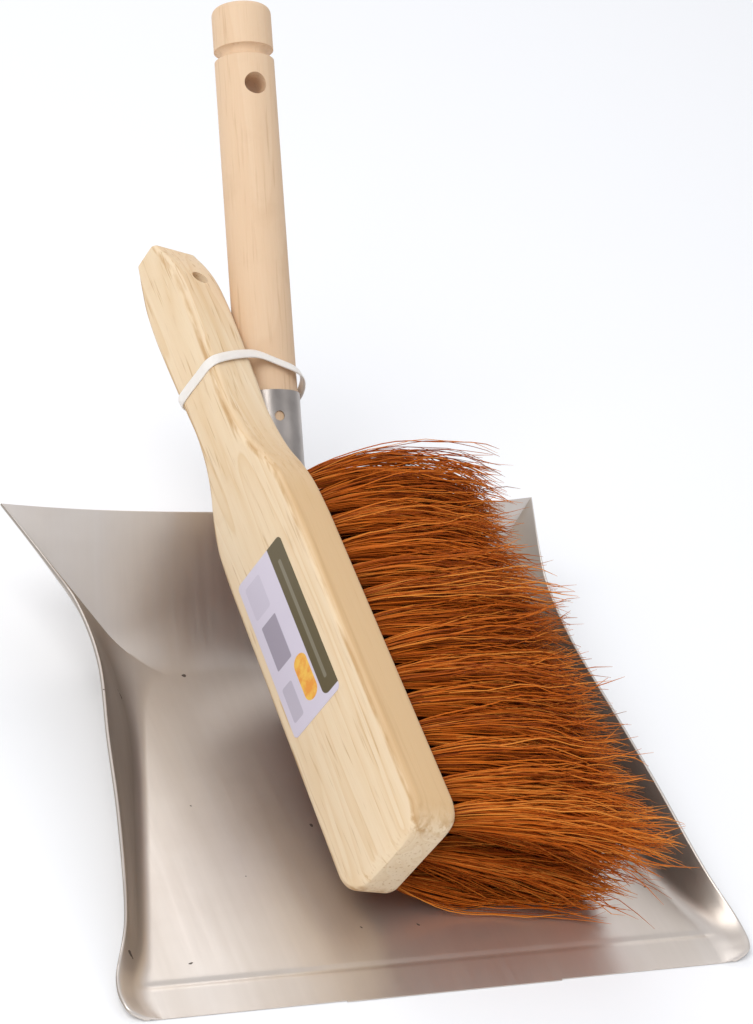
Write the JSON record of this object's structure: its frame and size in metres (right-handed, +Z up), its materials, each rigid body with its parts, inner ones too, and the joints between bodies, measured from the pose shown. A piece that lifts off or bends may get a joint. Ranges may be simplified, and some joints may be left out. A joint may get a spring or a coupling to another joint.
{
  "type": "dust pan and brush set",
  "caption": "Pressed steel dust pan with a sloping turned wooden handle and a coir hand brush lying in it, held to the pan handle by a clear band that slides off the handle's end.",
  "frame": {"origin": "middle of the pan floor's underside, on the plane the pan stands on", "axes": "+Z up, +Y from the front lip towards the handle, +X to the right seen from the front lip"},
  "size_m": [0.2218, 0.3693, 0.202],
  "materials": {
    "sheet_steel": "satin galvanised",
    "ferrule_steel": "satin galvanised",
    "rivet_steel": "satin",
    "nail_steel": "dull",
    "beech": "turned and sanded",
    "pine": "sanded, unvarnished",
    "coir": "natural fibre",
    "anchor_wire": "plain wire",
    "label_paper": "plain printed sticker",
    "band_plastic": "translucent"
  },
  "bodies": {
    "pan": {"pan_sheet": "sheet_steel", "ferrule": "ferrule_steel", "ferrule_rivets": "rivet_steel", "handle_nail": "nail_steel", "pan_handle": "beech"},
    "brush": {"brush_block": "pine", "tuft_row_1": "coir", "tuft_row_2": "coir", "tuft_row_3": "coir", "tuft_row_4": "coir", "tuft_row_5": "coir", "anchor_row_1": "anchor_wire", "anchor_row_2": "anchor_wire", "anchor_row_3": "anchor_wire", "anchor_row_4": "anchor_wire", "anchor_row_5": "anchor_wire", "brush_label": "label_paper", "band": "band_plastic"}
  },
  "joints": [
    {"name": "brush_slide", "type": "slide", "parent": "pan", "child": "brush", "axis": [0, 0.6652, 0.7466], "range_m": [0, 0.17]}
  ]
}
